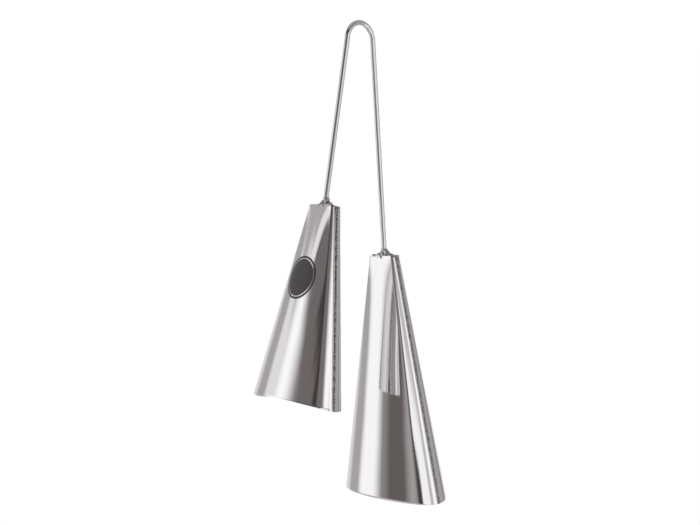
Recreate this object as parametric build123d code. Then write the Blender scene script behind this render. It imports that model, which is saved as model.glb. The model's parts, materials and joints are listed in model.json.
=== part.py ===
from build123d import *

import math
import os
from dataclasses import dataclass

# Agogo bell: two bells of welded sheet steel on one hairpin of springy round rod.
# Millimetres, +Z up. The origin is the underside of the hairpin's bend, where the
# instrument hangs. The hairpin lies in the XZ plane, the small high bell on the -X
# side and the large low bell on the +X side, and the bells' seams face -Y and +Y.

# Hairpin rod
ROD_DIAMETER = 4.5
BEND_RADIUS = 14.6  # centreline of the bend
LEG_LEAN = 7.4  # degrees that each leg leans outwards
HIGH_LEG_LENGTH = 143.0  # straight rod between the bend and the high bell's crown
LOW_LEG_LENGTH = 182.2

# Sheet of the bells and the gap that the seam welds fill
SHEET = 1.0
SEAM_GAP = 1.0
SEAM_BEAD_WIDTH = 2.4
SEAM_BEAD_HEIGHT = 0.7  # how far the bead stands out from the sheet
SEAM_LAND = 0.4  # flat sheet left beside the bead

# Crown, the closed upper end, of one size on both bells
CROWN_WIDTH = 28.6
CROWN_DEPTH = 11.2
CROWN_SWELL = 0.5  # how far a broad side swells past its corners
CROWN_ARCH = 0.8  # rise of the edge from the seams to the middle of a half
EDGE_SAG = 0.37  # share of an edge's rise that it has halfway to the middle
PLATE_THICKNESS = 2.0
PLATE_DROP = 0.6  # plate's top below the edge at the seams
CROWN_WELD_PROUD = 0.6  # crown welds above the edge
FOOT_WELD_HEIGHT = 7.5  # fillet of weld up the rod
FOOT_WELD_LIP = 0.3  # thickness of that fillet at its upper end

# High bell
HIGH_LENGTH = 162.6
HIGH_LEAN = 8.4  # degrees that the bell leans outwards
HIGH_CROWN_CORNER = 1.8
HIGH_MOUTH_WIDTH = 90.6
HIGH_MOUTH_DEPTH = 53.2
HIGH_MOUTH_CORNER = 14.7
HIGH_MOUTH_ARCH = 4.4  # rise of the rim from the seams to the middle of a half

# Low bell
LOW_LENGTH = 208.3
LOW_LEAN = 6.7
LOW_CROWN_CORNER = 2.8
LOW_MOUTH_WIDTH = 103.8
LOW_MOUTH_DEPTH = 67.3
LOW_MOUTH_CORNER = 21.2
LOW_MOUTH_ARCH = 5.0

# Clearance of pieces that seat on curved faces
FIT = 0.05

rod_radius = ROD_DIAMETER / 2
seam_flat = SEAM_BEAD_WIDTH / 2 + SEAM_LAND
plate_top = -PLATE_DROP
plate_bottom = plate_top - PLATE_THICKNESS
bend_centre_z = rod_radius - BEND_RADIUS


def filled(curves):
    """Flat face inside a closed chain of curves."""
    return Face(Wire([edge for curve in curves for edge in curve.edges()]))


@dataclass(frozen=True)
class Oval:
    """Section of a bell: a flat at each seam, corner arcs and a broad arc on each side."""

    half_width: float
    half_depth: float
    corner: float
    flat: float  # from the seam's middle to the corner

    def inset(self, by):
        return Oval(self.half_width - by, self.half_depth - by, self.corner - by, self.flat)

    def half_edges(self, seam_x):
        """Edges of the half on +X, from the +Y seam to the -Y seam, which end at seam_x."""
        w, d, r, flat = self.half_width, self.half_depth, self.corner, self.flat
        turn = math.pi / 2 - 2 * math.atan2(d - flat - r, w - r)

        def on_corner(angle, side):
            return (flat + r * math.sin(angle), side * (w - r + r * math.cos(angle)))

        return [
            Line((seam_x, w), (flat, w)),
            ThreePointArc((flat, w), on_corner(turn / 2, 1), on_corner(turn, 1)),
            ThreePointArc(on_corner(turn, 1), (d, 0), on_corner(turn, -1)),
            ThreePointArc(on_corner(turn, -1), on_corner(turn / 2, -1), (flat, -w)),
            Line((flat, -w), (seam_x, -w)),
        ]

    def face(self):
        """The whole oval as a face."""
        half = self.half_edges(0)
        return filled(half + [Rot(0, 0, 180) * edge for edge in half])

    def half_sheet_face(self):
        """The half on +X as a strip of sheet."""
        start = SEAM_GAP / 2
        inner = self.inset(SHEET)
        ends = [
            Line((start, side * self.half_width), (start, side * inner.half_width))
            for side in (1, -1)
        ]
        return filled(self.half_edges(start) + inner.half_edges(start) + ends)


@dataclass(frozen=True)
class Bell:
    """One bell in its own frame: its axis on Z, its crown at 0 and its mouth below."""

    name: str
    side: int  # -1 on the -X side of the hairpin, 1 on the +X side
    leg_length: float
    length: float
    lean: float
    crown: Oval
    mouth: Oval
    mouth_arch: float

    def oval_at(self, z):
        """Section at a height, on the straight lines from the crown to the mouth."""
        share = -z / self.length
        low, high = self.mouth, self.crown
        return Oval(
            high.half_width + share * (low.half_width - high.half_width),
            high.half_depth + share * (low.half_depth - high.half_depth),
            high.corner + share * (low.corner - high.corner),
            high.flat + share * (low.flat - high.flat),
        )

    def over_crown(self):
        """Height clear above the arched crown and its welds."""
        return 2 * CROWN_ARCH + CROWN_WELD_PROUD

    def tapered(self, section):
        """Straight-sided solid along the bell, past the crown and the rim, before it is cut."""
        heights = (-self.length - SHEET, self.over_crown())
        return loft([Pos(0, 0, z) * section(self.oval_at(z)) for z in heights], ruled=True)

    def blank(self, proud=0):
        """Space between the straight cuts of the sheets, which show as an arched crown and rim."""
        side = self.mouth.half_depth + SHEET

        def cut(half_depth, z, arch):
            ends = [(-side, z + arch), (-half_depth, z + arch), (half_depth, z + arch), (side, z + arch)]
            sags = [(x * half_depth / 2, z + EDGE_SAG * arch) for x in (-1, 1)]
            return [
                Line(ends[0], ends[1]),
                ThreePointArc(ends[1], sags[0], (0, z)),
                ThreePointArc((0, z), sags[1], ends[2]),
                Line(ends[2], ends[3]),
            ]

        top = cut(self.crown.half_depth, proud, CROWN_ARCH)
        rim = cut(self.mouth.half_depth, -self.length, self.mouth_arch)
        sides = [Line(top[-1] @ 1, rim[-1] @ 1), Line(rim[0] @ 0, top[0] @ 0)]
        profile = Plane.XZ * filled(top + rim + sides)
        return extrude(profile, 2 * self.mouth.half_width, both=True)

    def half_shell(self):
        return self.tapered(Oval.half_sheet_face) & self.blank()

    def seam_weld(self):
        """Weld on the +Y seam: a neck in the gap and a bead outside."""

        def section(oval):
            w = oval.half_width
            neck, bead = SEAM_GAP / 2, SEAM_BEAD_WIDTH / 2
            outline = Polyline(
                (-bead, w), (-neck, w), (-neck, w - SHEET), (neck, w - SHEET), (neck, w), (bead, w)
            )
            crown = ThreePointArc((bead, w), (0, w + SEAM_BEAD_HEIGHT), (-bead, w))
            return filled([outline, crown])

        return self.tapered(section) & self.blank()

    def room(self, z_bottom, z_top):
        """The space within the sheet between two heights."""
        inside = self.tapered(lambda oval: oval.inset(SHEET + FIT).face())
        slab = Box(2 * CROWN_WIDTH, 2 * CROWN_WIDTH, z_top - z_bottom)
        return inside & Pos(0, 0, (z_bottom + z_top) / 2) * slab

    def rod_turn(self):
        """Turn from the bell's axis to the rod's."""
        return Rot(0, self.lean - LEG_LEAN, 0)

    def crown_plate(self):
        hole = Cylinder(rod_radius + FIT, 4 * (PLATE_DROP + PLATE_THICKNESS))
        return self.room(plate_bottom, plate_top) - self.rod_turn() * hole

    def foot_weld_radius(self):
        return self.oval_at(plate_top).half_depth - SHEET - FIT

    def foot_weld(self):
        """Fillet of weld between the crown plate and the rod."""
        bore = rod_radius + FIT
        foot = self.foot_weld_radius()
        top = plate_top + FOOT_WELD_HEIGHT
        tip = bore + FOOT_WELD_LIP
        hollow = (tip + (foot - tip) / 4, plate_top + FOOT_WELD_HEIGHT / 3)
        outline = Polyline(
            (tip, top), (bore, top), (bore, plate_bottom), (foot, plate_bottom), (foot, plate_top)
        )
        flank = ThreePointArc((foot, plate_top), hollow, (tip, top))
        weld = self.rod_turn() * revolve(Plane.XZ * filled([outline, flank]), Axis.Z)
        return weld & Pos(0, 0, plate_top + FOOT_WELD_HEIGHT) * Box(4 * foot, 4 * foot, 2 * FOOT_WELD_HEIGHT)

    def crown_weld(self):
        """Weld over the +Y end of the crown plate, up to the arched edge and a little over."""
        weld = self.room(plate_top, self.over_crown()) & self.blank(CROWN_WELD_PROUD)
        return split(weld, Plane.XZ.offset(-self.foot_weld_radius() - FIT), keep=Keep.BOTTOM)

    def place(self):
        """Where the bell's frame lies, with +X of that frame away from the other bell."""
        turn = 0 if self.side > 0 else 180
        foot = Pos(*leg_point(self.side, self.leg_length))
        return foot * Rot(0, -self.side * self.lean, 0) * Rot(0, 0, turn)

    def pieces(self):
        """Placed solids by name; front is the -Y side."""
        half, seam, weld = self.half_shell(), self.seam_weld(), self.crown_weld()
        turned = Rot(0, 0, 180)
        front = turned if self.side > 0 else Rot(0, 0, 0)
        back = Rot(0, 0, 0) if self.side > 0 else turned
        local = {
            "outer_half": half,
            "inner_half": turned * half,
            "front_seam": front * seam,
            "back_seam": back * seam,
            "crown_plate": self.crown_plate(),
            "front_crown_weld": front * weld,
            "back_crown_weld": back * weld,
            "foot_weld": self.foot_weld(),
        }
        return {f"{self.name}_{piece}": self.place() * solid for piece, solid in local.items()}


def leg_point(side, along):
    """Point on a leg's centreline, a length below the end of the bend."""
    lean = math.radians(LEG_LEAN)
    x = BEND_RADIUS * math.cos(lean) + along * math.sin(lean)
    z = bend_centre_z + BEND_RADIUS * math.sin(lean) - along * math.cos(lean)
    return (side * x, 0, z)


def handle_rod(high, low):
    """The hairpin: two legs and the bend between them, with its ends flush under the crown plates."""
    high_foot = leg_point(high.side, high.leg_length - plate_bottom)
    low_foot = leg_point(low.side, low.leg_length - plate_bottom)
    high_end, low_end = leg_point(high.side, 0), leg_point(low.side, 0)
    high_leg = Line(high_foot, high_end)
    bend = ThreePointArc(high_end, (0, 0, rod_radius), low_end)
    path = Wire([high_leg, bend, Line(low_end, low_foot)])
    section = Plane(origin=high_foot, z_dir=high_leg % 0) * Circle(rod_radius)
    return sweep(section, path)


def crown_oval(corner):
    flat = CROWN_DEPTH / 2 - corner - CROWN_SWELL
    return Oval(CROWN_WIDTH / 2, CROWN_DEPTH / 2, corner, flat)


HIGH_BELL = Bell(
    "high_bell",
    -1,
    HIGH_LEG_LENGTH,
    HIGH_LENGTH,
    HIGH_LEAN,
    crown_oval(HIGH_CROWN_CORNER),
    Oval(HIGH_MOUTH_WIDTH / 2, HIGH_MOUTH_DEPTH / 2, HIGH_MOUTH_CORNER, seam_flat),
    HIGH_MOUTH_ARCH,
)
LOW_BELL = Bell(
    "low_bell",
    1,
    LOW_LEG_LENGTH,
    LOW_LENGTH,
    LOW_LEAN,
    crown_oval(LOW_CROWN_CORNER),
    Oval(LOW_MOUTH_WIDTH / 2, LOW_MOUTH_DEPTH / 2, LOW_MOUTH_CORNER, seam_flat),
    LOW_MOUTH_ARCH,
)

solids = {"handle_rod": handle_rod(HIGH_BELL, LOW_BELL), **HIGH_BELL.pieces(), **LOW_BELL.pieces()}

os.makedirs("parts", exist_ok=True)
for name, solid in solids.items():
    export_step(solid, f"parts/{name}.step")
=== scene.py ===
"""A two-bell agogo: mirror-polished sheet bells with welded seams on one hairpin of springy rod.

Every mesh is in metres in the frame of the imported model: the origin is the underside of the
hairpin's bend, +Z is up, the small high bell hangs on the -X leg and the large low bell on the
+X leg, and the seams face -Y (front) and +Y (back).
"""

import json
import logging
import math
from dataclasses import dataclass
from enum import Enum
from typing import Callable

import bpy
from mathutils import Matrix, Vector, noise

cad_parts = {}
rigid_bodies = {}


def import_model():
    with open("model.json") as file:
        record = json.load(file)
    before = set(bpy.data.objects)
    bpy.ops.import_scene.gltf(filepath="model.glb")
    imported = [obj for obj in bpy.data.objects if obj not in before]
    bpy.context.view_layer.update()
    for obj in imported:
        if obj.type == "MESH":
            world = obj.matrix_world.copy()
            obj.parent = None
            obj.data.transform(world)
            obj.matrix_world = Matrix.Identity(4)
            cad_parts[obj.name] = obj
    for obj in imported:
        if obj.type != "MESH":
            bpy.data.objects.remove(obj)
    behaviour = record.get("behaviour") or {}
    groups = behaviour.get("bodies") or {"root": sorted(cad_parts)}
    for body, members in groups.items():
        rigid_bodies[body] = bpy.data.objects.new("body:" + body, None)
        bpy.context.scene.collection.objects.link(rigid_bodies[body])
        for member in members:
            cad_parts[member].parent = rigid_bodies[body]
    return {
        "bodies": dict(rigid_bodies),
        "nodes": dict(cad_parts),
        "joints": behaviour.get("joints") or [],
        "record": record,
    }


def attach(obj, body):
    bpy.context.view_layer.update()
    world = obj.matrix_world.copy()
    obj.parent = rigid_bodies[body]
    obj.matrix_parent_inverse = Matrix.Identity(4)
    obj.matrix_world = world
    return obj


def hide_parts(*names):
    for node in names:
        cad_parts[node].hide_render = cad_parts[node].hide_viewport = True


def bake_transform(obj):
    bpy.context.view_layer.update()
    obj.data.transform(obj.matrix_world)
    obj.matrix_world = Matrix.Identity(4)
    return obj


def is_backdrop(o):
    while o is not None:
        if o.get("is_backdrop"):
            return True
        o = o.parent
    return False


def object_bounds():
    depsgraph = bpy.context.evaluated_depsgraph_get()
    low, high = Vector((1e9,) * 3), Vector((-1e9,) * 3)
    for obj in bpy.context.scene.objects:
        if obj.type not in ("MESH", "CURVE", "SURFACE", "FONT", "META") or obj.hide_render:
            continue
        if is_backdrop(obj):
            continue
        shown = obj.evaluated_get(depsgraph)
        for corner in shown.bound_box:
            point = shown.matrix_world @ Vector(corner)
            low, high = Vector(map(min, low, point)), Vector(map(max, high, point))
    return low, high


LOG = logging.getLogger("agogo")
MM = 0.001
FRAME_WIDTH_PX = 700
SENSOR_WIDTH_MM = 36.0
HALF_TURN_DEG = 180.0
MIDDLE = 0.5

Tone = tuple[float, float, float]
Drops = tuple[tuple[float, float, float, float], ...]
Path = Callable[[float], tuple[Vector, Vector, Vector]]


class Leg(Enum):
    """The hairpin's two legs; the value is the sign of the leg's X."""

    HIGH = -1
    LOW = 1


class End(Enum):
    """The two seams of a bell; the value is the sign of the seam's Y in the frame."""

    FRONT = -1
    BACK = 1


class HalfSide(Enum):
    """The two sheets of a bell; the value is the sign of the sheet's own X."""

    OUTER = 1
    INNER = -1


class Slot(Enum):
    """The record's material slots."""

    SHEET = "polished_sheet"
    ROD = "polished_rod"
    WELD = "weld_metal"


def blend_between(low: float, high: float, share: float) -> float:
    """The value a share of the way from low to high."""
    return low + (high - low) * share


class Bench:
    """Small helpers around Blender's operators."""

    @staticmethod
    def clear_selection() -> None:
        """Leaves object mode with nothing selected."""
        if bpy.context.mode != "OBJECT":
            bpy.ops.object.mode_set(mode="OBJECT")
        bpy.ops.object.select_all(action="DESELECT")

    @staticmethod
    def take(obj: bpy.types.Object) -> None:
        """Makes one object the only selected and the active one.

        Args:
            obj: the object.
        """
        Bench.clear_selection()
        obj.select_set(True)
        bpy.context.view_layer.objects.active = obj

    @staticmethod
    def named_active(name: str) -> bpy.types.Object:
        """Names the object that the last primitive operator added.

        Args:
            name: the piece's name.

        Returns:
            The object.
        """
        obj = bpy.context.active_object
        obj.name = name
        obj.data.name = name
        return obj

    @staticmethod
    def apply_modifiers(obj: bpy.types.Object) -> None:
        """Applies an object's modifiers in order.

        Args:
            obj: the mesh object.
        """
        Bench.take(obj)
        for modifier in list(obj.modifiers):
            bpy.ops.object.modifier_apply(modifier=modifier.name)

    @staticmethod
    def smooth(obj: bpy.types.Object, angle_deg: float) -> None:
        """Shades an object smooth, with edges over an angle left sharp.

        Args:
            obj: the mesh object.
            angle_deg: the angle in degrees.
        """
        Bench.take(obj)
        bpy.ops.object.shade_smooth_by_angle(angle=math.radians(angle_deg))

    @staticmethod
    def edit_all() -> None:
        """Enters edit mode on the active object with all of its mesh selected."""
        bpy.ops.object.mode_set(mode="EDIT")
        bpy.ops.mesh.select_all(action="SELECT")

    @staticmethod
    def face_outwards(obj: bpy.types.Object) -> None:
        """Turns the faces of a closed mesh outwards.

        Args:
            obj: the mesh object.
        """
        Bench.take(obj)
        Bench.edit_all()
        bpy.ops.mesh.normals_make_consistent(inside=False)
        bpy.ops.object.mode_set(mode="OBJECT")

    @staticmethod
    def reshape(obj: bpy.types.Object, place: Callable[[Vector], Vector]) -> None:
        """Moves each vertex to where a rule puts it.

        Args:
            obj: the mesh object.
            place: gives a vertex's new place from its old one.
        """
        for vertex in obj.data.vertices:
            vertex.co = place(vertex.co)
        obj.data.update()


class Nodes:
    """Short ways to add and join shader nodes."""

    def __init__(self, tree: bpy.types.NodeTree) -> None:
        """Holds a node tree and empties it."""
        self.tree = tree
        tree.nodes.clear()

    def add(self, kind: str, **settings: object) -> bpy.types.Node:
        """Adds a node and sets its properties.

        Args:
            kind: the node's class name.
            settings: property names and values.

        Returns:
            The node.
        """
        node = self.tree.nodes.new(kind)
        for name, value in settings.items():
            setattr(node, name, value)
        return node

    def join(self, source: bpy.types.NodeSocket, target: bpy.types.NodeSocket) -> None:
        """Links an output to an input."""
        self.tree.links.new(source, target)

    def math(self, operation: str, *values: object) -> bpy.types.NodeSocket:
        """Adds a Math node.

        Args:
            operation: Blender's name of the operation.
            values: numbers or sockets, in the node's order.

        Returns:
            The result's socket.
        """
        node = self.add("ShaderNodeMath", operation=operation)
        for index, value in enumerate(values):
            if isinstance(value, (int, float)):
                node.inputs[index].default_value = value
            else:
                self.join(value, node.inputs[index])
        return node.outputs[0]

    def dot(self, vector: bpy.types.NodeSocket, direction: Vector) -> bpy.types.NodeSocket:
        """Dot product of a vector with a fixed direction.

        Args:
            vector: the vector's socket.
            direction: the fixed direction.

        Returns:
            The result's socket.
        """
        node = self.add("ShaderNodeVectorMath", operation="DOT_PRODUCT")
        self.join(vector, node.inputs[0])
        node.inputs[1].default_value = direction
        return node.outputs["Value"]

    def ease(self, value: bpy.types.NodeSocket, full: float, none: float) -> bpy.types.NodeSocket:
        """1 below one limit and 0 above the other, smooth between.

        Args:
            value: the socket that is compared.
            full: value up to which the result is 1.
            none: value from which the result is 0.

        Returns:
            The result's socket.
        """
        node = self.add("ShaderNodeMapRange", interpolation_type="SMOOTHSTEP")
        self.join(value, node.inputs["Value"])
        node.inputs["From Min"].default_value = full
        node.inputs["From Max"].default_value = none
        node.inputs["To Min"].default_value = 1.0
        node.inputs["To Max"].default_value = 0.0
        return node.outputs["Result"]

    def span(
        self, value: bpy.types.NodeSocket, low: float, high: float, start: float = 0.0, stop: float = 1.0
    ) -> bpy.types.NodeSocket:
        """Maps a stretch of values onto another.

        Args:
            value: the socket that is mapped.
            low: result at start.
            high: result at stop.
            start: value that gives low.
            stop: value that gives high.

        Returns:
            The result's socket.
        """
        node = self.add("ShaderNodeMapRange")
        self.join(value, node.inputs["Value"])
        node.inputs["From Min"].default_value = start
        node.inputs["From Max"].default_value = stop
        node.inputs["To Min"].default_value = low
        node.inputs["To Max"].default_value = high
        return node.outputs["Result"]

    def noise(self, scale: tuple[float, float, float], detail: float) -> bpy.types.NodeSocket:
        """Noise on Object coordinates.

        Args:
            scale: cells per metre along X, Y and Z.
            detail: how many finer layers it has.

        Returns:
            The noise value's socket.
        """
        coordinates = self.add("ShaderNodeTexCoord")
        mapping = self.add("ShaderNodeMapping")
        mapping.inputs["Scale"].default_value = scale
        texture = self.add("ShaderNodeTexNoise")
        texture.inputs["Scale"].default_value = 1.0
        texture.inputs["Detail"].default_value = detail
        self.join(coordinates.outputs["Object"], mapping.inputs["Vector"])
        self.join(mapping.outputs["Vector"], texture.inputs["Vector"])
        return texture.outputs["Fac"]

    def ramp(self, value: bpy.types.NodeSocket, low: Tone, high: Tone) -> bpy.types.NodeSocket:
        """Colour between two colours.

        Args:
            value: socket from 0 to 1.
            low: linear colour at 0.
            high: linear colour at 1.

        Returns:
            The colour's socket.
        """
        node = self.add("ShaderNodeValToRGB")
        node.color_ramp.elements[0].color = (*low, 1.0)
        node.color_ramp.elements[1].color = (*high, 1.0)
        self.join(value, node.inputs["Fac"])
        return node.outputs["Color"]

    def bump(self, height: bpy.types.NodeSocket, strength: float, distance: float) -> bpy.types.NodeSocket:
        """Normal that a height makes.

        Args:
            height: the height's socket.
            strength: share of the effect.
            distance: depth in metres of a height of 1.

        Returns:
            The normal's socket.
        """
        node = self.add("ShaderNodeBump")
        node.inputs["Strength"].default_value = strength
        node.inputs["Distance"].default_value = distance
        self.join(height, node.inputs["Height"])
        return node.outputs["Normal"]


@dataclass(frozen=True)
class Finish:
    """A surface: two tones that it varies between, its gloss and its relief, all on one grain."""

    name: str
    tone_low: Tone
    tone_high: Tone
    rough_low: float
    rough_high: float
    grain: tuple[float, float, float]
    grain_detail: float
    relief: float
    relief_depth: float
    metallic: float = 1.0

    def material(self) -> bpy.types.Material:
        """Builds the node material.

        Returns:
            The material.
        """
        made = bpy.data.materials.new(self.name)
        made.use_nodes = True
        nodes = Nodes(made.node_tree)
        shader = nodes.add("ShaderNodeBsdfPrincipled")
        shader.inputs["Metallic"].default_value = self.metallic
        output = nodes.add("ShaderNodeOutputMaterial")
        grain = nodes.noise(self.grain, self.grain_detail)
        nodes.join(nodes.ramp(grain, self.tone_low, self.tone_high), shader.inputs["Base Color"])
        nodes.join(nodes.span(grain, self.rough_low, self.rough_high), shader.inputs["Roughness"])
        nodes.join(nodes.bump(grain, self.relief, self.relief_depth), shader.inputs["Normal"])
        nodes.join(shader.outputs["BSDF"], output.inputs["Surface"])
        return made


POLISHED_SHEET = Finish(
    name="mirror_polished_sheet",
    tone_low=(0.755, 0.748, 0.745),
    tone_high=(0.805, 0.80, 0.798),
    rough_low=0.045,
    rough_high=0.085,
    grain=(260.0, 260.0, 9.0),
    grain_detail=5.0,
    relief=0.05,
    relief_depth=0.01 * MM,
)
POLISHED_ROD = Finish(
    name="bright_rod",
    tone_low=(0.70, 0.685, 0.68),
    tone_high=(0.79, 0.78, 0.775),
    rough_low=0.10,
    rough_high=0.17,
    grain=(520.0, 520.0, 14.0),
    grain_detail=4.0,
    relief=0.05,
    relief_depth=0.01 * MM,
)
WELD_METAL = Finish(
    name="rippled_weld",
    tone_low=(0.085, 0.078, 0.078),
    tone_high=(0.46, 0.44, 0.435),
    rough_low=0.30,
    rough_high=0.12,
    grain=(410.0, 410.0, 410.0),
    grain_detail=2.5,
    relief=0.5,
    relief_depth=0.35 * MM,
)
RUN_WELD = Finish(
    name="bright_run_weld",
    tone_low=(0.24, 0.228, 0.228),
    tone_high=(0.82, 0.805, 0.80),
    rough_low=0.20,
    rough_high=0.06,
    grain=(330.0, 330.0, 330.0),
    grain_detail=2.5,
    relief=0.3,
    relief_depth=0.3 * MM,
)
DARK_PRINT = Finish(
    name="dark_print",
    tone_low=(0.052, 0.046, 0.047),
    tone_high=(0.075, 0.067, 0.068),
    rough_low=0.30,
    rough_high=0.42,
    grain=(420.0, 420.0, 420.0),
    grain_detail=4.0,
    relief=0.15,
    relief_depth=0.02 * MM,
    metallic=0.0,
)


@dataclass(frozen=True)
class Oval:
    """Section of a bell: a flat at each seam, corner arcs and a broad arc on each side."""

    half_width: float
    half_depth: float
    corner: float
    flat: float
    flat_share: float = 0.04
    corner_share: float = 0.25

    def point(self, share: float, seam_x: float) -> tuple[float, float]:
        """Point on the half with positive X.

        Args:
            share: 0 at the +Y seam, one half in the middle and 1 at the -Y seam.
            seam_x: X where the half starts at a seam.

        Returns:
            X and Y.
        """
        from_seam = min(share, 1.0 - share)
        side = 1.0 if share <= MIDDLE else -1.0
        reach = self.half_width - self.corner
        turn = math.pi / 2 - 2 * math.atan2(self.half_depth - self.flat - self.corner, reach)
        broad = self.corner + reach / math.cos(turn)
        if from_seam < self.flat_share:
            return blend_between(seam_x, self.flat, from_seam / self.flat_share), side * self.half_width
        if from_seam < self.corner_share:
            angle = turn * (from_seam - self.flat_share) / (self.corner_share - self.flat_share)
            x = self.flat + self.corner * math.sin(angle)
            return x, side * (reach + self.corner * math.cos(angle))
        round_broad = (from_seam - self.corner_share) / (MIDDLE - self.corner_share)
        angle = blend_between(turn, math.pi / 2, round_broad)
        return self.half_depth - broad + broad * math.sin(angle), side * broad * math.cos(angle)


@dataclass(frozen=True)
class Hairpin:
    """The bent rod, as two meshes that meet at the top of the bend."""

    radius: float = 2.25 * MM
    bend_radius: float = 14.6 * MM
    lean_deg: float = 7.4
    foot_depth: float = 2.6 * MM
    ring: int = 48
    bend_steps: int = 60
    leg_steps: int = 48
    sharp_deg: float = 50.0

    @property
    def lean(self) -> float:
        """The legs' lean in radians."""
        return math.radians(self.lean_deg)

    @property
    def bend_centre(self) -> Vector:
        """Centre of the bend."""
        return Vector((0.0, 0.0, self.radius - self.bend_radius))

    def down(self, leg: Leg) -> Vector:
        """Direction down a leg."""
        return Vector((leg.value * math.sin(self.lean), 0.0, -math.cos(self.lean)))

    def leg_point(self, leg: Leg, along: float) -> Vector:
        """Point on a leg's centreline.

        Args:
            leg: which leg.
            along: length below the end of the bend.

        Returns:
            The point.
        """
        out = Vector((leg.value * math.cos(self.lean), 0.0, math.sin(self.lean)))
        return self.bend_centre + self.bend_radius * out + along * self.down(leg)

    def build(self, leg: Leg, leg_length: float) -> bpy.types.Object:
        """Models half the bend and one leg: a ring is spun round the bend and extruded down the leg.

        Args:
            leg: which leg.
            leg_length: length from the bend to the bell's crown.

        Returns:
            The mesh object.
        """
        Bench.clear_selection()
        bpy.ops.mesh.primitive_circle_add(
            vertices=self.ring,
            radius=self.radius,
            fill_type="NOTHING",
            location=(0.0, 0.0, self.radius),
            rotation=(0.0, math.pi / 2, 0.0),
        )
        obj = Bench.named_active(f"rod_{leg.name.lower()}_half")
        bpy.ops.object.transform_apply(location=True, rotation=True, scale=True)
        Bench.edit_all()
        bpy.ops.mesh.spin(
            steps=self.bend_steps,
            angle=-leg.value * (math.pi / 2 - self.lean),
            center=self.bend_centre,
            axis=(0.0, 1.0, 0.0),
        )
        step = self.down(leg) * (leg_length + self.foot_depth) / self.leg_steps
        for _ in range(self.leg_steps):
            bpy.ops.mesh.extrude_region_move(TRANSFORM_OT_translate={"value": step})
        bpy.ops.mesh.select_all(action="SELECT")
        bpy.ops.mesh.fill_holes(sides=0)
        bpy.ops.object.mode_set(mode="OBJECT")
        Bench.face_outwards(obj)
        Bench.smooth(obj, self.sharp_deg)
        return obj

    def dress(self, obj: bpy.types.Object, leg: Leg, leg_length: float, steel: bpy.types.Material) -> None:
        """Gives a half its finish, bakes its place into its mesh and hides the handle's solid.

        Args:
            obj: the half's mesh.
            leg: which leg.
            leg_length: not used.
            steel: the rod's material.
        """
        obj.data.materials.append(steel)
        f"{leg.name.lower()}_bell"
        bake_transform(obj)
        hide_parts("handle_rod")
        LOG.info("%s: %d faces", obj.name, len(obj.data.polygons))


@dataclass(frozen=True)
class WeldBead:
    """A run of weld: a closed tube along a path, with ripples and an uneven edge."""

    half_width: float = 1.02 * MM
    half_height: float = 0.80 * MM
    ripple_pitch: float = 3.1 * MM
    ripple: float = 0.18
    ripple_drift: float = 1.3
    drift_rate: float = 0.7
    unevenness: float = 0.50
    wander: float = 0.40 * MM
    wander_rate: float = 0.6
    wander_seed: float = 7.0
    patch: float = 4.2 * MM
    pitting: float = 0.12
    pit_length: float = 1.1 * MM
    pits_round: float = 1.5
    end_thickness: float = 0.1 * MM
    round_ends: float = 1.2 * MM
    crown_spread: float = 1.1
    crown_reach: float = 7.0 * MM
    ring: int = 14
    cuts_per_ripple: int = 8
    shortest_step: float = 1e-5
    sharp_deg: float = 80.0

    def cut_lengthwise(self, obj: bpy.types.Object, cuts: int) -> None:
        """Divides the edges that run along Z.

        Args:
            obj: the cylinder.
            cuts: how many cuts each edge gets.
        """
        bpy.ops.object.mode_set(mode="EDIT")
        bpy.ops.mesh.select_mode(type="EDGE")
        bpy.ops.mesh.select_all(action="DESELECT")
        bpy.ops.object.mode_set(mode="OBJECT")
        for edge in obj.data.edges:
            low, high = (obj.data.vertices[corner].co.z for corner in edge.vertices)
            edge.select = abs(high - low) > self.shortest_step
        bpy.ops.object.mode_set(mode="EDIT")
        bpy.ops.mesh.subdivide(number_cuts=cuts)
        bpy.ops.object.mode_set(mode="OBJECT")

    def build(self, name: str, length: float, path: Path, seed: float) -> bpy.types.Object:
        """Models the bead: a cylinder cut into rings, which are laid along the path.

        Args:
            name: the piece's name.
            length: the path's length.
            path: gives the centre, the sideways and the outward direction at a share of the length.
            seed: place in the noise, so that no two beads are alike.

        Returns:
            The mesh object.
        """
        Bench.clear_selection()
        bpy.ops.mesh.primitive_cylinder_add(vertices=self.ring, radius=1.0, depth=1.0)
        obj = Bench.named_active(name)
        cuts = round(math.sqrt(length / self.ripple_pitch * self.cuts_per_ripple))
        self.cut_lengthwise(obj, cuts)
        self.cut_lengthwise(obj, cuts)

        def laid(corner: Vector) -> Vector:
            """Lays a corner of the unit cylinder along the path.

            Args:
                corner: its place on the cylinder.

            Returns:
                Its place on the bead.
            """
            share = corner.z + MIDDLE
            along = share * length
            centre, sideways, outward = path(share)
            place = Vector((seed, along / self.patch, 0.0))
            lump = 1.0 + self.unevenness * noise.noise(place)
            phase = along / self.ripple_pitch + self.ripple_drift * noise.noise(place * self.drift_rate)
            lump += self.ripple * (abs(math.sin(math.pi * phase)) - MIDDLE)
            to_end = min(along, length - along) + self.end_thickness
            lump *= math.sqrt(min(1.0, to_end / self.round_ends))
            bend = Vector((seed + self.wander_seed, along / self.patch * self.wander_rate, 0.0))
            shift = self.wander * noise.noise(bend)
            pit_x, pit_y = corner.x * self.pits_round, corner.y * self.pits_round
            pit = Vector((pit_x, pit_y, along / self.pit_length + seed))
            rough = 1.0 + self.pitting * noise.noise(pit)
            spread = 1.0 + self.crown_spread * math.exp(-along / self.crown_reach)
            across = corner.x * self.half_width * spread * lump * rough + shift
            return centre + sideways * across + outward * corner.y * self.half_height * lump * rough

        Bench.reshape(obj, laid)
        Bench.face_outwards(obj)
        Bench.smooth(obj, self.sharp_deg)
        return obj


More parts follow.
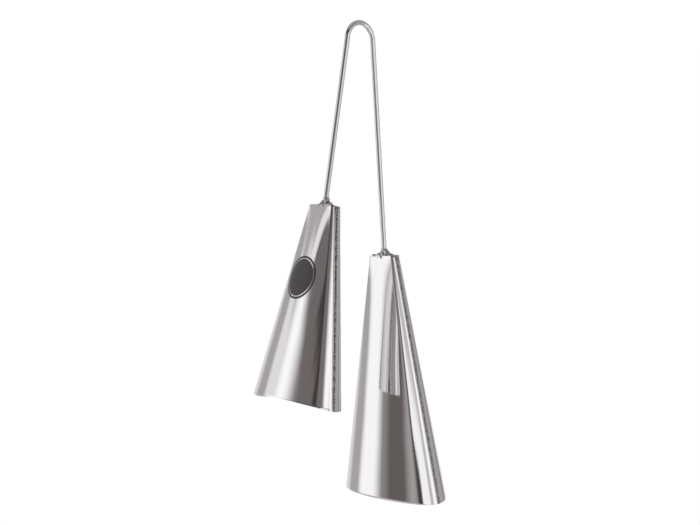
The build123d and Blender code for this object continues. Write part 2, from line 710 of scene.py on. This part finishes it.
@dataclass(frozen=True)
class LumpyWeld:
    """Weld metal at the crown: a solid's form and drops on it, remeshed and swollen into lumps."""

    voxel: float = 0.28 * MM
    lump_size: float = 2.6 * MM
    lump_height: float = 0.9 * MM
    lump_level: float = 0.5
    heave: float = 0.0
    sink: float = 0.0
    heave_size: float = 6.0 * MM
    soften: int = 4
    merge_distance: float = 0.001 * MM
    drop_detail: int = 3
    sharp_deg: float = 80.0

    def build(
        self, name: str, source: bpy.types.Object, up: Vector, drops: list[tuple[Vector, float]]
    ) -> bpy.types.Object:
        """Models the lumps over a copy of a solid.

        Args:
            name: the piece's name.
            source: the solid whose form the weld has.
            up: direction out of the crown.
            drops: centre and radius of each drop of weld that has run out of the form.

        Returns:
            The mesh object.
        """
        obj = bpy.data.objects.new(name, source.data.copy())
        obj.data.materials.clear()
        bpy.context.scene.collection.objects.link(obj)
        Bench.take(obj)
        Bench.edit_all()
        bpy.ops.mesh.remove_doubles(threshold=self.merge_distance)
        for centre, radius in drops:
            bpy.ops.mesh.primitive_ico_sphere_add(
                subdivisions=self.drop_detail, radius=radius, location=centre
            )
        bpy.ops.object.mode_set(mode="OBJECT")
        remesh = obj.modifiers.new("remesh", "REMESH")
        remesh.mode = "VOXEL"
        remesh.voxel_size = self.voxel
        clouds = bpy.data.textures.new(f"{name}_lumps", "CLOUDS")
        clouds.noise_scale = self.lump_size
        displace = obj.modifiers.new("lumps", "DISPLACE")
        displace.texture = clouds
        displace.texture_coords = "LOCAL"
        displace.strength = self.lump_height
        displace.mid_level = self.lump_level
        soften = obj.modifiers.new("soften", "SMOOTH")
        soften.iterations = self.soften
        Bench.apply_modifiers(obj)

        def heaved(spot: Vector) -> Vector:
            """Where a place on the weld ends up, after it has heaved and sunk along up."""
            return spot + up * (self.heave * noise.noise(spot / self.heave_size) - self.sink)

        Bench.reshape(obj, heaved)
        Bench.smooth(obj, self.sharp_deg)
        return obj


@dataclass(frozen=True)
class Bell:
    """One bell: two bent sheets, their seam welds and the closed crown."""

    leg: Leg
    leg_length: float
    length: float
    lean_deg: float
    crown: Oval
    mouth: Oval
    mouth_arch: float
    wave_seed: float
    foot_drops: Drops
    front_drops: Drops
    back_trim: float = 0.0
    hairpin: Hairpin = Hairpin()
    crown_arch: float = 0.8 * MM
    edge_slope: float = 0.48
    sheet: float = 1.0 * MM
    seam_gap: float = 1.0 * MM
    across: int = 100
    along: int = 84
    edge_round: float = 0.12 * MM
    edge_steps: int = 2
    edge_angle_deg: float = 60.0
    height_rounds: int = 4
    sharp_deg: float = 35.0
    wave_height: float = 0.10 * MM
    wave_length: float = 38.0 * MM
    bead_seed_step: float = 11.0
    bead_sink: float = 0.15 * MM
    bead: WeldBead = WeldBead()
    crown_lumps: LumpyWeld = LumpyWeld(heave=1.3 * MM, sink=0.75 * MM)
    foot_lumps: LumpyWeld = LumpyWeld(lump_size=2.2 * MM, lump_height=1.6 * MM)

    @property
    def name(self) -> str:
        """The bell's body in the frame."""
        return f"{self.leg.name.lower()}_bell"

    def axes(self) -> tuple[Vector, Vector, Vector]:
        """The bell's own directions in the model's frame.

        Returns:
            X (away from the other bell), Y (along the crown) and Z (up the rod).
        """
        lean = math.radians(self.lean_deg)
        side = self.leg.value
        out = Vector((side * math.cos(lean), 0.0, math.sin(lean)))
        up = Vector((-side * math.sin(lean), 0.0, math.cos(lean)))
        return out, Vector((0.0, side, 0.0)), up

    def placed(self, x: float, y: float, z: float) -> Vector:
        """Point of the bell's own frame, in the model's frame.

        Args:
            x: distance away from the other bell.
            y: distance along the crown.
            z: height above the crown.

        Returns:
            The point.
        """
        out, over, up = self.axes()
        return self.hairpin.leg_point(self.leg, self.leg_length) + x * out + y * over + z * up

    def placed_drops(self, drops: Drops) -> list[tuple[Vector, float]]:
        """Drops of weld, from millimetres in the bell's own frame to the model's frame.

        Args:
            drops: X, Y, Z and radius of each drop.

        Returns:
            Centre and radius of each drop.
        """
        return [(self.placed(x * MM, y * MM, z * MM), radius * MM) for x, y, z, radius in drops]

    def section(self, share: float, z: float) -> tuple[float, float]:
        """Point of the outer sheet's outside.

        Args:
            share: place round the half, 0 and 1 at its seams.
            z: height in the bell's own frame, 0 at the crown.

        Returns:
            X and Y in the bell's own frame.
        """
        top = self.crown.point(share, self.seam_gap / 2)
        low = self.mouth.point(share, self.seam_gap / 2)
        down = -z / self.length
        return blend_between(top[0], low[0], down), blend_between(top[1], low[1], down)

    def arch(self, x: float, half_depth: float, rise: float) -> float:
        """Rise of a straight-cut edge above its seams.

        Args:
            x: distance from the seams' plane.
            half_depth: the distance at which the edge is highest.
            rise: the rise there.

        Returns:
            The rise at x.
        """
        share = min(abs(x) / half_depth, 1.0)
        return rise * (self.edge_slope * share + (1.0 - self.edge_slope) * share**2)

    def edge_heights(self, share: float, half: HalfSide) -> tuple[float, float]:
        """Heights of the crown's edge and of the rim at a place round a half.

        Args:
            share: place round the half.
            half: which sheet.

        Returns:
            The crown's and the rim's height.
        """
        top, rim = 0.0, -self.length
        for _ in range(self.height_rounds):
            top = self.arch(self.section(share, top)[0], self.crown.half_depth, self.crown_arch)
            reach, over = self.section(share, rim)
            rim = -self.length + self.arch(reach, self.mouth.half_depth, self.mouth_arch)
            back = max(0.0, over * half.value * self.leg.value / self.mouth.half_width)
            rim += self.back_trim * back**2
        return top, rim

    def sheet_point(self, share: float, down: float, half: HalfSide) -> Vector:
        """Point on the outside of a sheet.

        Args:
            share: place round the half, 0 and 1 at its seams.
            down: 0 at the crown's edge and 1 at the rim.
            half: which sheet.

        Returns:
            The point in the model's frame.
        """
        top, rim = self.edge_heights(share, half)
        z = blend_between(top, rim, down)
        x, y = self.section(share, z)
        spot = Vector((x * half.value, y, z)) / self.wave_length
        wave = noise.noise(spot + Vector((self.wave_seed, 0.0, half.value)))
        swell = 1.0 + self.wave_height * wave * math.sin(math.pi * share) / self.crown.half_width
        return self.placed(half.value * x * swell, half.value * y, z)

    def build_sheet(self, half: HalfSide) -> bpy.types.Object:
        """Models one half: a flat blank is bent to shape, then gets its thickness and its edges.

        Args:
            half: which sheet.

        Returns:
            The mesh object.
        """
        Bench.clear_selection()
        bpy.ops.mesh.primitive_grid_add(x_subdivisions=self.across, y_subdivisions=self.along, size=1.0)
        obj = Bench.named_active(f"{self.name}_{half.name.lower()}_sheet")
        Bench.reshape(obj, lambda flat: self.sheet_point(flat.x + MIDDLE, MIDDLE - flat.y, half))
        out = half.value * self.axes()[0]
        if sum(face.area * face.normal.dot(out) for face in obj.data.polygons) < 0.0:
            Bench.take(obj)
            Bench.edit_all()
            bpy.ops.mesh.flip_normals()
            bpy.ops.object.mode_set(mode="OBJECT")
        wall = obj.modifiers.new("wall", "SOLIDIFY")
        wall.thickness = self.sheet
        wall.offset = -1.0
        wall.use_even_offset = True
        edge = obj.modifiers.new("edge", "BEVEL")
        edge.width = self.edge_round
        edge.segments = self.edge_steps
        edge.limit_method = "ANGLE"
        edge.angle_limit = math.radians(self.edge_angle_deg)
        Bench.apply_modifiers(obj)
        Bench.smooth(obj, self.sharp_deg)
        return obj

    def build_seam(self, end: End) -> bpy.types.Object:
        """Models one seam's bead.

        Args:
            end: which seam.

        Returns:
            The mesh object.
        """
        out, over, _ = self.axes()
        side = end.value * self.leg.value
        reach = self.length - (self.back_trim if end is End.BACK else 0.0)

        def path(share: float) -> tuple[Vector, Vector, Vector]:
            """The seam's line.

            Args:
                share: 0 at the crown and 1 at the rim.

            Returns:
                The bead's centre, the sideways and the outward direction.
            """
            z = -share * reach
            width = blend_between(self.crown.half_width, self.mouth.half_width, -z / self.length)
            return self.placed(0.0, side * (width - self.bead_sink), z), out, over * side

        slant = math.hypot(reach, self.mouth.half_width - self.crown.half_width)
        seed = self.wave_seed + self.bead_seed_step * end.value
        return self.bead.build(f"{self.name}_{end.name.lower()}_bead", slant, path, seed)

    def dress(
        self, obj: bpy.types.Object, metal: bpy.types.Material, slot: Slot, nodes: list[str]
    ) -> None:
        """Gives a piece its finish, lets it ride on the bell and stand for its solids.

        Args:
            obj: the piece.
            metal: its material.
            slot: not used.
            nodes: names of the solids, without the bell's own name.
        """
        obj.data.materials.clear()
        obj.data.materials.append(metal)
        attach(obj, self.name)
        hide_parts(*[f"{self.name}_{node}" for node in nodes])
        LOG.info("%s: %d faces", obj.name, len(obj.data.polygons))

    def build(
        self, frame: dict, sheet: bpy.types.Material, weld: bpy.types.Material, run: bpy.types.Material
    ) -> None:
        """Models and dresses every piece of the bell.

        Args:
            sheet: the sheets' material.
            weld: the seams' material.
            run: the material of the weld that has run over the crown.
        """
        for half in HalfSide:
            self.dress(self.build_sheet(half), sheet, Slot.SHEET, [f"{half.name.lower()}_half"])
        up = self.axes()[2]
        for end in End:
            place = end.name.lower()
            self.dress(self.build_seam(end), weld, Slot.WELD, [f"{place}_seam"])
            node = f"{place}_crown_weld"
            drops = self.placed_drops(self.front_drops if end is End.FRONT else ())
            source = frame["nodes"][f"{self.name}_{node}"]
            lumps = self.crown_lumps.build(f"{self.name}_{place}_crown_lumps", source, up, drops)
            self.dress(lumps, run, Slot.WELD, [node])
        source = frame["nodes"][f"{self.name}_foot_weld"]
        lumps = self.foot_lumps.build(
            f"{self.name}_foot_lumps", source, up, self.placed_drops(self.foot_drops)
        )
        self.dress(lumps, run, Slot.WELD, ["foot_weld"])
        plate = frame["nodes"][f"{self.name}_crown_plate"]
        plate.data.materials.clear()
        plate.data.materials.append(run)


HIGH_BELL = Bell(
    leg=Leg.HIGH,
    leg_length=143.0 * MM,
    length=162.6 * MM,
    lean_deg=8.4,
    crown=Oval(half_width=14.3 * MM, half_depth=5.6 * MM, corner=1.8 * MM, flat=3.3 * MM),
    mouth=Oval(half_width=45.3 * MM, half_depth=26.6 * MM, corner=14.7 * MM, flat=1.6 * MM),
    mouth_arch=4.4 * MM,
    wave_seed=3.0,
    foot_drops=(
        (2.0, -1.6, 1.0, 2.5),
        (4.9, 3.6, -0.6, 1.5),
        (4.6, -2.0, -0.2, 1.3),
        (-0.8, 4.8, 0.8, 2.8),
        (0.0, 2.4, 2.8, 2.8),
        (1.0, -1.0, 2.6, 2.6),
        (-0.2, 1.0, 5.0, 2.5),
    ),
    front_drops=((-2.4, 13.6, -0.2, 0.9), (0.6, 12.2, 0.2, 1.2)),
    back_trim=1.8 * MM,
)
LOW_BELL = Bell(
    leg=Leg.LOW,
    leg_length=182.2 * MM,
    length=208.3 * MM,
    lean_deg=6.7,
    crown=Oval(half_width=14.3 * MM, half_depth=5.6 * MM, corner=2.8 * MM, flat=2.3 * MM),
    mouth=Oval(half_width=51.9 * MM, half_depth=33.65 * MM, corner=21.2 * MM, flat=1.6 * MM),
    mouth_arch=5.0 * MM,
    wave_seed=8.0,
    foot_drops=(
        (0.0, -4.0, 1.0, 2.8),
        (0.0, -7.2, 0.4, 2.2),
        (0.0, -9.6, 0.2, 1.7),
        (-3.0, 2.8, 1.0, 2.2),
        (-4.9, -1.2, -0.2, 1.6),
        (-4.5, 6.9, 0.6, 1.2),
        (-4.5, 8.8, 0.6, 1.2),
        (0.0, -2.2, 2.6, 2.6),
        (-0.8, 0.8, 2.2, 2.7),
        (0.0, -1.0, 4.2, 2.4),
    ),
    front_drops=((0.4, -9.4, 0.4, 1.5), (0.2, -12.2, 0.2, 1.6)),
)


@dataclass(frozen=True)
class PlainMark:
    """A plain dark oval with a bright ring, printed on the outer face of a bell."""

    half_height: float = 17.9 * MM
    half_width: float = 16.3 * MM
    depth: float = 60.9 * MM
    sideways: float = -2.3 * MM
    lift: float = 0.08 * MM
    thickness: float = 0.10 * MM
    ring_start: float = 0.86
    ring_stop: float = 0.90
    slack: float = 0.005
    corners: int = 96
    halvings: int = 40
    inner_rings: tuple[float, ...] = (0.70, 0.54, 0.38, 0.22, 0.08)
    sharp_deg: float = 40.0

    def build(self, bell: Bell) -> bpy.types.Object:
        """Models the mark: a disc with rings inset, wrapped on the sheet.

        Args:
            bell: the bell that carries the mark.

        Returns:
            The mesh object.
        """
        Bench.clear_selection()
        bpy.ops.mesh.primitive_circle_add(vertices=self.corners, radius=1.0, fill_type="NGON")
        obj = Bench.named_active("plain_oval_mark")
        Bench.edit_all()
        outer = 1.0
        for radius in (self.ring_stop, self.ring_start, *self.inner_rings):
            bpy.ops.mesh.inset(thickness=outer - radius, depth=0.0)
            outer = radius
        bpy.ops.object.mode_set(mode="OBJECT")
        for face in obj.data.polygons:
            spread = max(obj.data.vertices[corner].co.length for corner in face.vertices)
            face.material_index = 1 if self.ring_start < spread - self.slack < self.ring_stop else 0

        def wrapped(flat: Vector) -> Vector:
            """Where a place on the flat disc of radius 1 lies on the sheet."""
            y = self.sideways + flat.x * self.half_width
            return self.on_sheet(bell, y, -self.depth + flat.y * self.half_height)

        Bench.reshape(obj, wrapped)
        film = obj.modifiers.new("film", "SOLIDIFY")
        film.thickness = self.thickness
        film.offset = 0.0
        Bench.apply_modifiers(obj)
        Bench.face_outwards(obj)
        Bench.smooth(obj, self.sharp_deg)
        return obj

    def dress(
        self, obj: bpy.types.Object, bell: Bell, dark: bpy.types.Material, ring: bpy.types.Material
    ) -> None:
        """Gives the mark its two finishes and lets it ride on its bell.

        Args:
            obj: the mark's mesh.
            bell: the bell that carries it.
            dark: the disc's material.
            ring: the ring's material.
        """
        obj.data.materials.append(dark)
        obj.data.materials.append(ring)
        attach(obj, bell.name)
        LOG.info("%s: %d faces", obj.name, len(obj.data.polygons))

    def on_sheet(self, bell: Bell, y: float, z: float) -> Vector:
        """Point just off the outer sheet.

        Args:
            bell: the bell.
            y: sideways place in the bell's own frame.
            z: height in the bell's own frame.

        Returns:
            The point in the model's frame.
        """
        low, high = 0.0, 1.0
        for _ in range(self.halvings):
            share = (low + high) / 2
            if bell.section(share, z)[1] > y:
                low = share
            else:
                high = share
        x, y = bell.section((low + high) / 2, z)
        return bell.placed(x + self.lift, y, z)


@dataclass(frozen=True)
class Panel:
    """A soft-edged light panel or wall of the studio, seen from the object.

    Angles are in degrees: azimuth 0 is straight behind the object in the photograph's view and
    positive to the right, and elevation is above the horizon.
    """

    name: str
    azimuth: float
    half_width: float
    strength: float
    low: float = -60.0
    high: float = 45.0
    soft: float = 8.0
    soft_height: float = 6.0


@dataclass(frozen=True)
class Studio:
    """Camera, light and floor."""

    yaw_deg: float = 43.427
    pitch_deg: float = 0.606
    roll_deg: float = 2.080
    bend_in_view: tuple[float, float, float] = (9.064 * MM, 945.651 * MM, 199.711 * MM)
    focal_px: float = 1134.0
    hairpin: Hairpin = Hairpin()
    room_tone: float = 0.066
    # Powers of the light in red, green and blue: over 1, the shades turn a little warm
    shade_warmth: tuple[float, float, float] = (1.0, 1.07, 1.068)
    white: Tone = (1.0, 1.0, 1.0)
    floor_drop: float = 0.17
    floor_radius: float = 0.5
    floor_corners: int = 128
    floor_tone: Tone = (0.86, 0.86, 0.86)
    floor_glow: float = 0.72
    lamp_height: float = 1.1
    lamp_size: float = 0.9
    lamp_watts: float = 9.0
    panels: tuple[Panel, ...] = (
        Panel("left of the backdrop", azimuth=-23.0, half_width=20.0, strength=0.80, high=20.0, soft=16.0),
        Panel("left wall", azimuth=-50.0, half_width=18.0, strength=0.47),
        Panel("wall over the softbox", azimuth=-72.0, half_width=21.0, strength=0.50, low=10.0, soft=7.0),
        Panel("left softbox", azimuth=-86.0, half_width=22.5, strength=1.16, high=9.0, soft=13.0),
        Panel(
            "softbox edge", azimuth=-79.0, half_width=20.0, strength=0.90,
            low=0.0, high=18.0, soft=9.0, soft_height=3.0,
        ),
        Panel(
            "left softbox, top", azimuth=-97.5, half_width=19.0, strength=1.20,
            low=2.0, high=22.4, soft=18.0, soft_height=2.0,
        ),
        Panel(
            "left softbox, top edge", azimuth=-96.0, half_width=7.0, strength=0.95,
            low=6.0, high=27.0, soft=4.0, soft_height=3.0,
        ),
        Panel("glow by the softbox", azimuth=-112.0, half_width=14.0, strength=0.30, high=8.0, soft=12.0),
        Panel(
            "glow over it", azimuth=-119.0, half_width=12.0, strength=0.33,
            low=8.0, high=22.0, soft=12.0, soft_height=2.0,
        ),
        Panel("dark left wall", azimuth=-128.0, half_width=31.0, strength=0.15, high=8.0, soft=8.0),
        Panel("upper wall", azimuth=-121.0, half_width=17.0, strength=0.19, low=8.0, high=36.0, soft=5.0),
        Panel(
            "dark wall by the camera", azimuth=-129.0, half_width=17.5, strength=0.19,
            low=8.0, high=24.1, soft=5.0, soft_height=0.8,
        ),
        Panel(
            "foot of the dark wall", azimuth=-134.0, half_width=21.0, strength=0.19,
            low=8.0, high=23.1, soft=4.0, soft_height=0.8,
        ),
        Panel("left of the camera", azimuth=-161.5, half_width=10.0, strength=0.45, high=4.0, soft=11.5),
        Panel("camera wall", azimuth=178.0, half_width=21.0, strength=0.21, low=8.0, high=32.0, soft=5.0),
        Panel("low right sheet", azimuth=148.0, half_width=19.0, strength=1.12, high=8.0, soft=5.0),
        Panel(
            "sheet beside the camera", azimuth=170.0, half_width=10.0, strength=1.10,
            low=-1.4, high=7.0, soft=4.0, soft_height=1.0,
        ),
        Panel("right bounce", azimuth=133.0, half_width=30.0, strength=0.64, high=26.0, soft=10.0),
        Panel("right softbox", azimuth=107.0, half_width=11.0, strength=1.20, high=23.0),
        Panel("high right sheet", azimuth=131.0, half_width=23.0, strength=1.2, low=11.0, high=24.0),
        Panel("right wall", azimuth=84.0, half_width=18.0, strength=0.45, soft=5.0),
        Panel("dark right wall", azimuth=60.0, half_width=12.0, strength=0.35),
        Panel("right of the backdrop", azimuth=26.0, half_width=24.0, strength=1.05, high=20.0),
        Panel("over the backdrop", azimuth=0.0, half_width=90.0, strength=0.24, low=20.0, high=50.0),
        Panel("ceiling", azimuth=0.0, half_width=360.0, strength=0.48, low=48.0, high=95.0),
    )
    backdrop: Panel = Panel("backdrop", azimuth=0.0, half_width=12.0, strength=1.0, high=22.0)

    def view(self) -> Matrix:
        """Turn from the model's frame to the view.

        Returns:
            The matrix, whose rows are right, forward and up.
        """
        roll = Matrix.Rotation(math.radians(self.roll_deg), 3, "Y")
        pitch = Matrix.Rotation(math.radians(self.pitch_deg), 3, "X")
        return roll @ pitch @ Matrix.Rotation(math.radians(self.yaw_deg), 3, "Z")

    def build_camera(self) -> None:
        """Places the camera at the photograph's viewing angle."""
        view = self.view()
        right, forward, up = view
        data = bpy.data.cameras.new("photo_camera")
        data.sensor_fit = "HORIZONTAL"
        data.sensor_width = SENSOR_WIDTH_MM
        data.lens = self.focal_px * SENSOR_WIDTH_MM / FRAME_WIDTH_PX
        camera = bpy.data.objects.new("photo_camera", data)
        turn = Matrix((right, up, -forward)).transposed().to_4x4()
        bend = Vector((0.0, 0.0, self.hairpin.radius))
        place = bend - view.transposed() @ Vector(self.bend_in_view)
        camera.matrix_world = Matrix.Translation(place) @ turn
        bpy.context.scene.collection.objects.link(camera)
        bpy.context.scene.camera = camera

    def panel_light(
        self, nodes: Nodes, panel: Panel, azimuth: bpy.types.NodeSocket, elevation: bpy.types.NodeSocket
    ) -> bpy.types.NodeSocket:
        """Brightness of one panel in a direction.

        Args:
            nodes: the world's nodes.
            panel: the panel.
            azimuth: socket of the direction's azimuth in degrees.
            elevation: socket of its elevation in degrees.

        Returns:
            The brightness socket.
        """
        off = nodes.math("SUBTRACT", azimuth, panel.azimuth)
        off = nodes.math("ABSOLUTE", nodes.math("WRAP", off, HALF_TURN_DEG, -HALF_TURN_DEG))
        across = nodes.ease(off, panel.half_width - panel.soft, panel.half_width + panel.soft)
        tall = (panel.high - panel.low) / 2
        rise = nodes.math("SUBTRACT", elevation, (panel.high + panel.low) / 2)
        height = nodes.ease(nodes.math("ABSOLUTE", rise), tall - panel.soft_height, tall + panel.soft_height)
        return nodes.math("MULTIPLY", nodes.math("MULTIPLY", across, height), panel.strength)

    def build_world(self) -> None:
        """Lights the object with the studio's panels; the camera sees a white backdrop."""
        world = bpy.data.worlds.new("studio")
        bpy.context.scene.world = world
        world.use_nodes = True
        nodes = Nodes(world.node_tree)
        right, forward, _ = self.view()
        direction = nodes.add("ShaderNodeTexCoord").outputs["Generated"]
        turn = nodes.math("ARCTAN2", nodes.dot(direction, right), nodes.dot(direction, forward))
        azimuth = nodes.math("DEGREES", turn)
        rise = nodes.dot(direction, Vector((0.0, 0.0, 1.0)))
        elevation = nodes.math("DEGREES", nodes.math("ARCSINE", rise))
        light = None
        for panel in self.panels:
            one = self.panel_light(nodes, panel, azimuth, elevation)
            light = one if light is None else nodes.math("MAXIMUM", light, one)
        gray = nodes.add("ShaderNodeCombineColor")
        light = nodes.math("MAXIMUM", light, self.room_tone)
        for index, warmth in enumerate(self.shade_warmth):
            nodes.join(nodes.math("POWER", light, warmth), gray.inputs[index])
        path = nodes.add("ShaderNodeLightPath")
        mirrored = nodes.math("MAXIMUM", path.outputs["Is Glossy Ray"], path.outputs["Is Transmission Ray"])
        behind = self.panel_light(nodes, self.backdrop, azimuth, elevation)
        behind = nodes.math("MULTIPLY", mirrored, behind)
        shown = nodes.math("MAXIMUM", path.outputs["Is Camera Ray"], behind)
        seen = nodes.add("ShaderNodeMix", data_type="RGBA")
        nodes.join(shown, seen.inputs["Factor"])
        nodes.join(gray.outputs["Color"], seen.inputs["A"])
        seen.inputs["B"].default_value = (*self.white, 1.0)
        background = nodes.add("ShaderNodeBackground")
        nodes.join(seen.outputs["Result"], background.inputs["Color"])
        output = nodes.add("ShaderNodeOutputWorld")
        nodes.join(background.outputs["Background"], output.inputs["Surface"])

    def floor_material(self) -> bpy.types.Material:
        """Pale floor that keeps a soft shadow and meets the white backdrop; from below it is clear.

        Returns:
            The material.
        """
        made = bpy.data.materials.new("pale_floor")
        made.use_nodes = True
        nodes = Nodes(made.node_tree)
        matte = nodes.add("ShaderNodeBsdfDiffuse")
        matte.inputs["Color"].default_value = (*self.floor_tone, 1.0)
        glow = nodes.add("ShaderNodeEmission")
        glow.inputs["Color"].default_value = (*self.white, 1.0)
        path = nodes.add("ShaderNodeLightPath")
        mix = nodes.add("ShaderNodeMixShader")
        nodes.join(nodes.math("MULTIPLY", path.outputs["Is Camera Ray"], self.floor_glow), mix.inputs["Fac"])
        nodes.join(matte.outputs["BSDF"], mix.inputs[1])
        nodes.join(glow.outputs["Emission"], mix.inputs[2])
        side = nodes.add("ShaderNodeMixShader")
        nodes.join(nodes.add("ShaderNodeNewGeometry").outputs["Backfacing"], side.inputs["Fac"])
        nodes.join(mix.outputs["Shader"], side.inputs[1])
        nodes.join(nodes.add("ShaderNodeBsdfTransparent").outputs["BSDF"], side.inputs[2])
        output = nodes.add("ShaderNodeOutputMaterial")
        nodes.join(side.outputs["Shader"], output.inputs["Surface"])
        return made

    def build_floor(self, lowest: float) -> None:
        """Lays a round floor under the hanging instrument.

        Args:
            lowest: height of the instrument's lowest point.
        """
        Bench.clear_selection()
        bpy.ops.mesh.primitive_circle_add(
            vertices=self.floor_corners, radius=self.floor_radius, fill_type="NGON"
        )
        floor = Bench.named_active("floor")
        Bench.reshape(floor, lambda corner: Vector((corner.x, corner.y, lowest - self.floor_drop)))
        floor.data.materials.append(self.floor_material())
        floor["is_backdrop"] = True

    def build_lamp(self) -> None:
        """Hangs one soft lamp above, for the shadow on the floor; the metal doesn't mirror it."""
        data = bpy.data.lights.new("overhead", "AREA")
        data.size = self.lamp_size
        data.energy = self.lamp_watts
        lamp = bpy.data.objects.new("overhead", data)
        lamp.location = (0.0, 0.0, self.lamp_height)
        lamp.visible_glossy = False
        bpy.context.scene.collection.objects.link(lamp)

    def build(self, lowest: float) -> None:
        """Sets up the camera, the light and the floor.

        Args:
            lowest: height of the instrument's lowest point.
        """
        bpy.context.scene.view_settings.view_transform = "Standard"
        self.build_camera()
        self.build_world()
        self.build_floor(lowest)
        self.build_lamp()


def main() -> None:
    """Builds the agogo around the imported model."""
    logging.basicConfig(level=logging.INFO, format="%(name)s: %(message)s")
    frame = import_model()
    cad_box = [list(corner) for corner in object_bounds()]
    sheet = POLISHED_SHEET.material()
    rod = POLISHED_ROD.material()
    weld = WELD_METAL.material()
    run = RUN_WELD.material()
    mark = PlainMark()
    mark.dress(mark.build(HIGH_BELL), HIGH_BELL, DARK_PRINT.material(), sheet)
    for bell in (HIGH_BELL, LOW_BELL):
        bell.build(frame, sheet, weld, run)
        half = bell.hairpin.build(bell.leg, bell.leg_length)
        bell.hairpin.dress(half, bell.leg, bell.leg_length, rod)
    Studio().build(cad_box[0][2])


if __name__ == "__main__":
    main()
